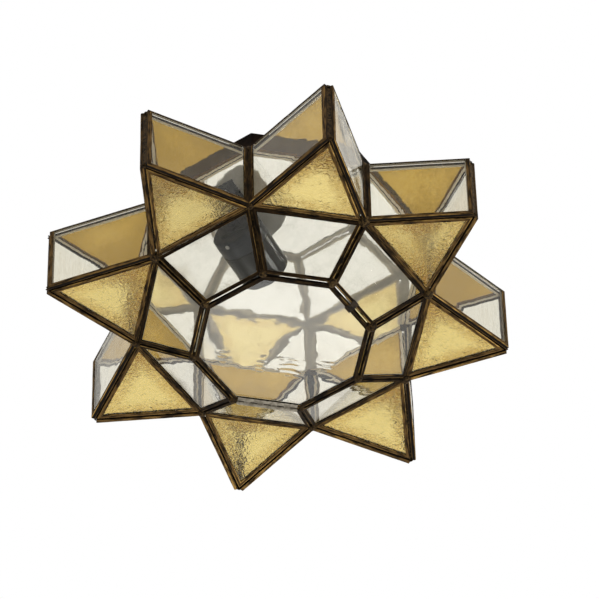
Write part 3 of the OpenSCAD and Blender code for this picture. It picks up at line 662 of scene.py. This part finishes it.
def glass(name, tint, deep, stain, sizes, bump, patch, rim, stretch=(1, 1, 1), calm=1.0, ream=0.0,
          body=0.0, bend=1.5, still=1.0):
    """Rolled glass: its tint, its colour where it is thick, its smears, ripples, patches and dirty rim.

    calm is the share of the thick colour that is left in the pane's middle, ream the depth of its cords,
    body the share of light that the coloured glass scatters, bend its index, and still the share of
    the ripples' height that is left in the pane's middle.
    """
    paint, tree, skin = new_paint(name)
    edge = add(tree, "ShaderNodeAttribute", attribute_name="rim").outputs["Fac"]
    dirt = add(tree, "ShaderNodeGroup", dict(zip(("Patch", "Grain", "Low", "High"), patch)),
               node_tree=smears)
    tree.links.new(maths(tree, "MULTIPLY", maths(tree, "POWER", edge, 1.6), rim), dirt.inputs["Rim"])
    wave = add(tree, "ShaderNodeGroup", dict(zip(("Size", "Fine", "Share", "Twist"), sizes)),
               node_tree=rolled)
    wave.inputs["Stretch"].default_value = stretch
    thick = maths(tree, "MULTIPLY", wave.outputs["Thick"], between(tree, edge, 0.0, 0.8, calm, 1.0))
    colour = mixed(tree, thick, (*tint, 1), (*deep, 1))
    tree.links.new(mixed(tree, dirt.outputs["Mask"], colour, (*stain, 1)), skin.inputs["Base Color"])
    height = wave.outputs["Height"]
    if ream:
        cords = add(tree, "ShaderNodeGroup", node_tree=reams)
        height = maths(tree, "ADD", height, maths(tree, "MULTIPLY", cords.outputs["Height"], ream / bump))
    if still < 1:
        height = maths(tree, "MULTIPLY", height, between(tree, edge, 0.0, 0.75, still, 1.0))
    raised(tree, skin, height, bump)
    skin.inputs["Transmission Weight"].default_value = 1.0 - body
    skin.inputs["Roughness"].default_value = 0.0
    skin.inputs["IOR"].default_value = bend
    return paint


amber = glass("hammered_amber", (0.97, 0.80, 0.32), (0.62, 0.38, 0.07), (0.66, 0.44, 0.10),
              sizes=(210, 1000, 0.16, 1.6), bump=1.15, patch=(18, 500, 0.60, 0.84), rim=0.13,
              calm=0.14, body=0.05, bend=1.36, still=0.62)
# The back panes' amber: the same glass tinted deeper, as painted shade for the dim side behind them.
amber_painted_shade = glass("amber_painted_shade", (0.76, 0.53, 0.12), (0.66, 0.43, 0.07), (0.50, 0.32, 0.05),
                   sizes=(120, 600, 0.2, 0.8), bump=0.3, patch=(9, 420, 0.36, 0.56), rim=0.06,
                   body=0.14, bend=1.2)
clear = glass("drawn_clear", (0.97, 0.97, 0.94), (0.90, 0.89, 0.83), (0.66, 0.62, 0.52),
              sizes=(300, 900, 0.15, 0.6), bump=0.05, patch=(26, 420, 0.60, 0.85), rim=0.0,
              stretch=(1, 1, 0.12), bend=1.3)
slope = glass("slope_clear", (0.97, 0.97, 0.94), (0.90, 0.90, 0.87), (0.55, 0.53, 0.48),
              sizes=(60, 300, 0.02, 0.5), bump=0.08, patch=(20, 500, 0.60, 0.82), rim=0.10)
pale = glass("door_clear", (0.97, 0.97, 0.95), (0.95, 0.95, 0.92), (0.74, 0.73, 0.68),
             sizes=(60, 400, 0.02, 0.4), bump=0.15, patch=(16, 500, 0.62, 0.85), rim=0.08, ream=0.17)

for k in range(1, POINTS + 1):
    # The first amber slab of each point is the front pane; the others take the amber tinted deeper as
    # painted shade.
    panes(f"amber_panes_{k}", f"point_amber_{k}", LANTERN, "amber_glass", [amber, amber_painted_shade], 3 * MM,
          ((11, 0.16), (5, 0.05)))
    panes(f"wall_panes_{k}", f"point_clear_{k}", LANTERN, "clear_glass", [clear], 3.4 * MM,
          ((34, 0.25), (13, 0.06)))
    panes(f"slope_glass_{k}", f"slope_pane_{k}", LANTERN, "clear_glass", [slope], 3 * MM,
          ((30, 0.10), (12, 0.02)))
panes("door_glass", "door_pane", DOOR, "clear_glass", [pale], 2.5 * MM, ((30, 0.25), (12, 0.10), (6, 0.03)))

# The mirror in the back of the star: silvered glass, drilled, with an old face that is a little
# wavy and clouded, so that it lays a grey veil over what it shows.


def reskin(node, paint):
    """Shows a CAD node's own shape in the given material."""
    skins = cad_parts[node].data.materials
    skins.clear()
    skins.append(paint)


mirror_paint, tree, skin = new_paint("old_mirror")
skin.inputs["Metallic"].default_value = 0.47
skin.inputs["Roughness"].default_value = 0.03
dirt = add(tree, "ShaderNodeGroup", node_tree=smears)
silver = mixed(tree, dirt.outputs["Mask"], (0.97, 0.955, 0.91, 1), (0.77, 0.75, 0.70, 1))
tree.links.new(silver, skin.inputs["Base Color"])
wave = add(tree, "ShaderNodeGroup", {"Size": 60, "Fine": 200}, node_tree=rolled)
raised(tree, skin, wave.outputs["Height"], 0.05)
reskin("mirror_glass", mirror_paint)

# Solder: run along the bottom of every joint between two channels, lumpy and nearly black, with
# a small knot where the channels of several panes meet on the dome and in the valleys. Its dark patina
# is deepened as painted shade for the grooves it lies in.
SOLDER_STEP = 3 * MM
SOLDER_REACH = 8.5 * MM  # how far a run goes on past its CAD bar, under the corner's knot
KNOT = 4.8 * MM
KNOT_DEPTH = 2.6 * MM  # how deep a knot's middle lies below the channels' faces
CORNER_SIZE = 13 * MM  # corners of channels nearer each other than this share a knot

# Nearly black: dark patina, deepened as painted shade of the grooves.
solder_black = metal("black_solder", (0.006, 0.004, 0.002), (0.075, 0.044, 0.016), (0.40, 0.27, 0.10),
                     mottle=420, rubbed=0.6, gloss=0.1)


def run_of_solder(corners):
    """One lumpy bead through the eight corners of a straight bar."""
    points = np.array(corners)
    middle = points.mean(axis=0)
    axis = np.linalg.svd(points - middle)[2][0]
    far = sorted(range(len(corners)), key=lambda i: points[i] @ axis)
    ends = []
    for part in (far[:4], far[4:]):
        centre = points[part].mean(axis=0)
        x = Vector(axis).orthogonal().normalized()
        y = Vector(axis).cross(x)
        ends.append(sorted((Vector(points[i]) for i in part), key=lambda p: math.atan2(
            (p - Vector(centre)).dot(y), (p - Vector(centre)).dot(x))))
    reach = Vector(axis) * SOLDER_REACH
    ends = [[p - reach for p in ends[0]], [p + reach for p in ends[1]]]
    steps = max(3, round((ends[1][0] - ends[0][0]).length / SOLDER_STEP))
    verts = []
    for r in range(steps + 1):
        ring = [a.lerp(b, r / steps) for a, b in zip(*ends)]
        centre = sum(ring, Vector()) / 4
        swell = 0.88 + 0.12 * noise.noise(centre / (6 * MM)) - (0.3 if r in (0, steps) else 0.0)
        verts += [centre + (p - centre) * swell for p in ring]
    faces = [tuple(reversed(range(4))), tuple(range(4 * steps, 4 * steps + 4))]
    for r in range(steps):
        for j in range(4):
            a, b = 4 * r + j, 4 * r + (j + 1) % 4
            faces.append((a, b, b + 4, a + 4))
    return verts, faces


def geometry_tree(name, inputs):
    """An empty geometry tree with named inputs."""
    tree = bpy.data.node_groups.new(name, "GeometryNodeTree")
    tree.interface.new_socket(name="Geometry", in_out="INPUT", socket_type="NodeSocketGeometry")
    for label, kind, value in inputs:
        socket = tree.interface.new_socket(name=label, in_out="INPUT", socket_type="NodeSocket" + kind)
        if value is not None:
            socket.default_value = value
    tree.interface.new_socket(name="Geometry", in_out="OUTPUT", socket_type="NodeSocketGeometry")
    return tree, add(tree, "NodeGroupInput").outputs, add(tree, "NodeGroupOutput").inputs


def realized(tree, many, skin, out):
    """The end of a geometry tree: its copies as plain mesh in one material."""
    many = add(tree, "GeometryNodeRealizeInstances", {0: many}).outputs[0]
    many = add(tree, "GeometryNodeSetMaterial", {"Geometry": many, "Material": skin}).outputs[0]
    tree.links.new(many, out["Geometry"])


def grown(name, tree, start, skin):
    """The plain mesh that a geometry tree makes from a starting mesh, in one material."""
    thing = bpy.data.objects.new(name, start)
    scene.collection.objects.link(thing)
    way = thing.modifiers.new(name, "NODES")
    way.node_group = tree
    for socket in tree.interface.items_tree:
        if socket.in_out == "INPUT" and socket.socket_type != "NodeSocketGeometry":
            filled = skin if socket.socket_type == "NodeSocketMaterial" else socket.default_value
            way[socket.identifier] = filled
    made = bpy.data.meshes.new_from_object(thing.evaluated_get(bpy.context.evaluated_depsgraph_get()))
    thing.modifiers.clear()
    bpy.data.objects.remove(thing)
    made.name = name
    return made


verts, faces = [], []
for corners in solids("solder_seams"):
    more, quads = run_of_solder(corners)
    faces += [tuple(v + len(verts) for v in quad) for quad in quads]
    verts += more
beads = bpy.data.meshes.new("solder_runs")
beads.from_pydata(verts, [], faces)
work = bmesh.new()
work.from_mesh(beads)
bmesh.ops.recalc_face_normals(work, faces=work.faces)
work.to_mesh(beads)
work.free()
beads.materials.append(solder_black)
smooth(beads, math.radians(60))
put("solder_runs", beads, LANTERN, "solder", "solder_seams")

ends = []
for k in range(1, POINTS + 1):
    for node in (f"slope_frame_{k}", f"point_frame_{k}"):
        for corners in solids(node):
            outline, normal, _ = outer_face(corners)
            ends += [p - normal * KNOT_DEPTH for p in outline]
knots = []
while ends:
    first = ends.pop()
    near = [p for p in ends if (p - first).length < CORNER_SIZE]
    middle = (first + sum(near, Vector())) / (len(near) + 1)
    if near and from_axis(middle) < VALLEY_WITHIN:
        knots.append(middle)
    ends = [p for p in ends if p not in near]
spots = bpy.data.meshes.new("knot_places")
spots.from_pydata(knots, [], [])

tree, given, out = geometry_tree("solder_knots", [
    ("Size", "Float", KNOT), ("Lumpy", "Float", 0.35), ("Solder", "Material", None)])
ball = add(tree, "GeometryNodeMeshIcoSphere", {"Radius": 1.0, "Subdivisions": 3}).outputs[0]
place = add(tree, "GeometryNodeInputPosition").outputs[0]
lump = add(tree, "ShaderNodeTexNoise", {"Vector": place, "Scale": 1.3, "Detail": 1.0}).outputs[0]
lump = maths(tree, "MULTIPLY", lump, given["Lumpy"])
push = add(tree, "ShaderNodeVectorMath", {0: place, "Scale": lump}, operation="SCALE").outputs[0]
ball = add(tree, "GeometryNodeSetPosition", {"Geometry": ball, "Offset": push}).outputs[0]
spin = add(tree, "FunctionNodeRandomValue", {0: (0, 0, 0), 1: (6.28, 6.28, 6.28), "Seed": 4},
           data_type="FLOAT_VECTOR").outputs[0]
size = add(tree, "FunctionNodeRandomValue", {2: 0.75, 3: 1.1, "Seed": 9}, data_type="FLOAT").outputs[1]
size = maths(tree, "MULTIPLY", size, given["Size"])
many = add(tree, "GeometryNodeInstanceOnPoints", {
    "Points": given["Geometry"], "Instance": ball, "Rotation": spin, "Scale": size}).outputs[0]
realized(tree, many, given["Solder"], out)
blobs = grown("solder_knots", tree, spots, solder_black)
smooth(blobs, math.radians(80))
put("solder_knots", blobs, LANTERN, "solder")


def eased(name, node, body, slot, skin, width):
    """A CAD node's own shape with its edges broken by a width in mm."""
    work = bmesh.new()
    work.from_mesh(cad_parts[node].data)
    bmesh.ops.remove_doubles(work, verts=work.verts, dist=0.001 * MM)
    bmesh.ops.dissolve_limit(work, angle_limit=math.radians(1.5), verts=work.verts, edges=work.edges)
    sharp = [e for e in work.edges if len(e.link_faces) == 2 and e.calc_face_angle(0) > math.radians(30)]
    bmesh.ops.bevel(work, geom=sharp, offset=width * MM, segments=2, profile=0.6, affect="EDGES",
                    clamp_overlap=True)
    bmesh.ops.triangulate(work, faces=[f for f in work.faces if len(f.verts) > 4])
    mesh = bpy.data.meshes.new(name)
    work.to_mesh(mesh)
    work.free()
    mesh.materials.append(skin)
    smooth(mesh)
    put(name, mesh, body, slot, node)


# The door's hinge: two rolled leaves of tinned steel on a peened pin, soldered over the frames
# along one side of the door, with nine knuckles gone dull and grey.
hinge_tin = metal("hinge_tin", (0.24, 0.215, 0.175), (0.44, 0.40, 0.33), (0.74, 0.70, 0.62),
                  mottle=220, rubbed=0.7)
eased("hinge_body", "hinge_body_leaf", LANTERN, "hinge_steel", hinge_tin, 0.12)
eased("hinge_door", "hinge_door_leaf", DOOR, "hinge_steel", hinge_tin, 0.12)
eased("pin", "hinge_pin", LANTERN, "hinge_steel", hinge_tin, 0.1)

# The catch: a sprung clip of darkened brass on the slope's frame, and a finger tab on the door's
# beside it, both nearly black.
catch_black = metal("catch_black", (0.008, 0.006, 0.004), (0.045, 0.028, 0.012), (0.22, 0.15, 0.06),
                    mottle=220, rubbed=0.7)
eased("clip", "catch_clip", LANTERN, "catch_brass", catch_black, 0.15)
eased("tab", "door_tab", DOOR, "catch_brass", catch_black, 0.15)

# The pan against the ceiling: pressed brass sheet, eight-sided, hemmed where it meets the ceiling
# and patinated to a dark bronze, coloured almost black as painted shade for the dim side against the
# ceiling.
# Almost black: dark patina, and painted shade for the dim ceiling side.
pan_bronze = metal("pan_bronze", (0.002, 0.001, 0.0005), (0.013, 0.006, 0.0025), (0.17, 0.08, 0.028),
                   mottle=90, rubbed=0.8, wear_and_shade=0.12, gloss=0.02)
eased("pan", "ceiling_pan", LANTERN, "pan_brass", pan_bronze, 0.35)

# The bar that is screwed to the ceiling: plated steel strip, slotted for two screws, with an ear
# bent down at each end for the thumb screws.
plated = metal("zinc_plate", (0.36, 0.36, 0.35), (0.52, 0.52, 0.50), (0.74, 0.73, 0.70),
               mottle=120, rubbed=0.5, metallic=0.9, gloss=0.5)
eased("bar", "mounting_bar", LANTERN, "plated_steel", plated, 0.2)

# Two thumb screws of antique brass, turned and knurled, that hold the pan to the bar's ears.
# Each head is a drum with a dished end and forty ridges round it.
HEAD_R, HEAD_H = 5.0, 5.0  # the head's radius and height in mm
SHANK_R, SHANK_IN = 2.0, 6.0  # the shank's radius and length in mm
RIDGES = 40
RIDGE = 0.45  # each ridge of the knurl across, in mm
RIDGE_LENGTH = 3.0  # in mm
RIDGE_MIDDLE = 2.1  # the ridges' middle above the head's seat, in mm
screw_gold = metal("screw_brass", (0.10, 0.065, 0.025), (0.30, 0.20, 0.08), (0.62, 0.44, 0.18),
                   mottle=260, rubbed=0.8, metallic=0.85, gloss=0.5)


def turned(name, loop, segments=64):
    """A closed ring turned from a closed loop of (radius, height) pairs in mm, on the Z axis."""
    verts, faces = [], []
    count = len(loop)
    for i in range(segments):
        c, s = math.cos(2 * math.pi * i / segments), math.sin(2 * math.pi * i / segments)
        verts += [(r * c * MM, r * s * MM, z * MM) for r, z in loop]
    for i in range(segments):
        for k in range(count):
            a, b = i * count + k, i * count + (k + 1) % count
            c, d = (i + 1) % segments * count + (k + 1) % count, (i + 1) % segments * count + k
            faces.append((a, b, c, d))
    work = bmesh.new()
    mesh = bpy.data.meshes.new(name)
    mesh.from_pydata(verts, [], faces)
    work.from_mesh(mesh)
    bmesh.ops.remove_doubles(work, verts=work.verts, dist=0.002 * MM)
    bmesh.ops.dissolve_degenerate(work, edges=work.edges, dist=0.001 * MM)
    bmesh.ops.recalc_face_normals(work, faces=work.faces)
    work.to_mesh(mesh)
    work.free()
    return mesh


def arc(r, z, size, start, end, steps=6):
    """Points of a rounded corner round (r, z), by angle in degrees."""
    turns = [math.radians(start + (end - start) * i / steps) for i in range(steps + 1)]
    return [(r + size * math.cos(t), z + size * math.sin(t)) for t in turns]


tree, given, out = geometry_tree("knurl", [
    ("Ridges", "Int", RIDGES), ("Radius", "Float", (HEAD_R - RIDGE) * MM),
    ("Length", "Float", RIDGE_LENGTH * MM), ("Height", "Float", RIDGE_MIDDLE * MM),
    ("Width", "Float", RIDGE * MM), ("Metal", "Material", None)])
rim = add(tree, "GeometryNodeMeshCircle", {
    "Vertices": given["Ridges"], "Radius": given["Radius"]}).outputs[0]
size = add(tree, "ShaderNodeCombineXYZ", {
    "X": given["Width"], "Y": given["Width"], "Z": given["Length"]}).outputs[0]
ridge = add(tree, "GeometryNodeMeshCube", {"Size": size}).outputs[0]
lift = add(tree, "ShaderNodeCombineXYZ", {"Z": given["Height"]}).outputs[0]
ridge = add(tree, "GeometryNodeTransform", {
    "Geometry": ridge, "Translation": lift, "Rotation": (0, 0, math.radians(45))}).outputs[0]
place = add(tree, "GeometryNodeInputPosition").outputs[0]
turn = add(tree, "FunctionNodeAlignRotationToVector", {"Vector": place}, axis="X").outputs[0]
many = add(tree, "GeometryNodeInstanceOnPoints", {
    "Points": rim, "Instance": ridge, "Rotation": turn}).outputs[0]
realized(tree, many, given["Metal"], out)

screw_loop = [(0, -SHANK_IN), (SHANK_R - 0.3, -SHANK_IN), (SHANK_R, 0.4 - SHANK_IN), (SHANK_R, 0)]
screw_loop += [(HEAD_R - 0.7, 0)] + arc(HEAD_R - 0.7, 0.4, 0.4, -90, 0, 3)
screw_loop += arc(HEAD_R - 1.0, HEAD_H - 0.7, 0.7, 0, 90)
screw_loop += [(HEAD_R - 2.2, HEAD_H), (HEAD_R - 2.8, HEAD_H - 0.5), (0, HEAD_H - 0.6)]
low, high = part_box("thumb_screws")
screws = bmesh.new()
for side in (-1, 1):
    seat = Vector((side * (high.x - HEAD_H * MM), (low.y + high.y) / 2, (low.z + high.z) / 2))
    facing = Vector((side, 0, 0)).to_track_quat("Z", "Y").to_matrix().to_4x4()
    knurl = grown("knurl", tree, bpy.data.meshes.new("knurl_start"), screw_gold)
    for part in (turned("screw", screw_loop), knurl):
        part.transform(Matrix.Translation(seat) @ facing)
        screws.from_mesh(part)
mesh = bpy.data.meshes.new("knurled_screws")
screws.to_mesh(mesh)
screws.free()
mesh.materials.append(screw_gold)
for face in mesh.polygons:
    face.material_index = 0
smooth(mesh)
put("knurled_screws", mesh, LANTERN, "screw_brass", "thumb_screws")

# The socket's bracket: plated strip bent to an L, its foot screwed through the mirror into the pan.
# Its screws and the nut on the socket's neck have the same dark plating.
dark_plate = metal("dark_plate", (0.020, 0.021, 0.025), (0.040, 0.042, 0.048), (0.16, 0.16, 0.17),
                   mottle=140, rubbed=0.5, gloss=0.3)
eased("bracket", "socket_bracket", LANTERN, "plated_steel", dark_plate, 0.2)
eased("bracket_fixings", "bracket_screws", LANTERN, "plated_steel", dark_plate, 0.2)

# The bulb socket: moulded black bakelite in two parts, turned here from its section, with a brass
# screw shell and centre contact inside the front part and a small screw in the rear one. The rear
# part is coloured a lighter blue-grey, a painted haze standing for the glass's reflection over it.
SOCKET_TURN = math.radians(49)
SOCKET_TILT = math.radians(8)
MOUTH_BACK = 29 * MM  # from the lamp's axis
MOUTH_DROP = 41.4 * MM  # below the mirror's face
MIRROR_FACE = -43.6 * MM
SOCKET_R = 25.5 * MM
CAP_SCREW_TOWARDS = (-0.343, 0.124, -0.931)  # the side of the cap that its small screw is on
CAP_SCREW_BACK = -57.0 * MM  # the screw's place along the socket, from its mouth
level = Vector((math.cos(SOCKET_TURN), math.sin(SOCKET_TURN), 0))
out_of_mouth = level * math.cos(SOCKET_TILT) - Vector((0, 0, math.sin(SOCKET_TILT)))
mouth = -level * MOUTH_BACK + Vector((0, 0, MIRROR_FACE - MOUTH_DROP))
to_side = Vector((0, 0, 1)).cross(out_of_mouth).normalized()
at_mouth = Matrix((to_side, out_of_mouth.cross(to_side), out_of_mouth)).transposed().to_4x4()
at_mouth = Matrix.Translation(mouth) @ at_mouth

shell_loop = [(17.0, -0.6), (17.6, 0.0)] + arc(22.5, -3.0, 3.0, 90, 0, 8) + [
    (25.5, -6.6), (25.15, -7.0), (25.15, -7.9), (25.5, -8.3), (25.5, -33.2), (25.1, -33.7), (25.1, -34.9),
    (25.5, -35.4)] + arc(24.7, -40.2, 0.8, 0, -90, 4) + [
    (5.0, -41.0), (5.0, -35.0), (13.95, -35.0), (13.95, -10.0), (17.0, -10.0)]
thread = []
for i in range(12):
    thread += [(4.95, -69.6 + 0.7 * i), (4.55, -69.25 + 0.7 * i)]
cap_loop = [(3.2, -70.3), (4.3, -70.3)] + thread + [(4.95, -61.3)]
cap_loop += arc(22.5, -58.3, 3.0, -90, 0, 8) + [
    (25.5, -54.4), (25.2, -54.1), (25.2, -53.5), (25.5, -53.2), (25.5, -42.0)]
cap_loop += arc(24.8, -42.0, 0.7, 0, 90, 4) + [(18.0, -41.3), (18.0, -55.3), (3.2, -55.3)]
cap_screw_loop = [(0, -1.5), (2.2, -1.5), (2.2, 0.0)] + arc(1.9, 0.3, 0.3, 0, 90, 3)
cap_screw_loop += [(1.2, 0.9), (0, 1.0)]


def bakelite(name, colour, streak, roughness, gloss=0.25):
    """Moulded bakelite: nearly black, faintly swirled, scuffed and dusty."""
    paint, tree, skin = new_paint(name)
    dust = add(tree, "ShaderNodeGroup", {
        "Patch": 90, "Grain": 900, "Low": 0.45, "High": 0.75}, node_tree=smears).outputs["Mask"]
    tree.links.new(mixed(tree, dust, (*colour, 1), (*streak, 1)), skin.inputs["Base Color"])
    tree.links.new(between(tree, dust, 0.0, 1.0, roughness, roughness + 0.25), skin.inputs["Roughness"])
    here = add(tree, "ShaderNodeTexCoord").outputs["Object"]
    raised(tree, skin, fractal(tree, here, 120, 3), 0.04)
    skin.inputs["Specular IOR Level"].default_value = gloss
    return paint


shell_black = bakelite("bakelite_black", (0.002, 0.0035, 0.003), (0.006, 0.009, 0.008), 0.06, 0.22)
# The rear part: black bakelite given a lighter blue-grey as painted haze from the glass's reflection.
cap_painted_haze = bakelite("bakelite_painted_haze", (0.015, 0.019, 0.030), (0.028, 0.035, 0.050), 0.35)
for name, loop, skin, node in (("shell", shell_loop, shell_black, "socket_shell"),
                               ("cap", cap_loop, cap_painted_haze, "socket_cap")):
    mesh = turned(name, loop, 96)
    mesh.transform(at_mouth)
    mesh.materials.append(skin)
    if name == "cap":
        whole = bmesh.new()
        whole.from_mesh(mesh)
        mesh.materials.append(plated)
        head = turned("cap_screw", cap_screw_loop, 24)
        for face in head.polygons:
            face.material_index = 1
        out_here = (at_mouth.to_3x3().inverted() @ Vector(CAP_SCREW_TOWARDS)).xy.normalized()
        seat = Vector((*(out_here * SOCKET_R), CAP_SCREW_BACK))
        facing = Vector((*out_here, 0)).to_track_quat("Z", "Y").to_matrix().to_4x4()
        head.transform(at_mouth @ Matrix.Translation(seat) @ facing)
        whole.from_mesh(head)
        whole.to_mesh(mesh)
        whole.free()
    smooth(mesh, math.radians(30))
    put("socket_" + name + "_moulding", mesh, LANTERN, "bakelite", node)

contact = metal("contact_brass", (0.40, 0.27, 0.08), (0.62, 0.45, 0.17), (0.82, 0.64, 0.30),
                mottle=180, rubbed=0.8, metallic=1.0, gloss=0.5)
eased("contacts", "socket_contacts", LANTERN, "contact_brass", contact, 0.1)

# Two leads in black sheath from the socket's neck up into the pan, and the rubber grommet in the
# pan's floor that keeps its edge off them.
sheath = bakelite("lead_sheath", (0.014, 0.014, 0.014), (0.030, 0.030, 0.030), 0.5)
rubber = bakelite("grommet_rubber", (0.012, 0.012, 0.012), (0.030, 0.029, 0.028), 0.6)
reskin("socket_leads", sheath)
eased("grommet", "wire_grommet", LANTERN, "rubber", rubber, 0.3)

low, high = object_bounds()
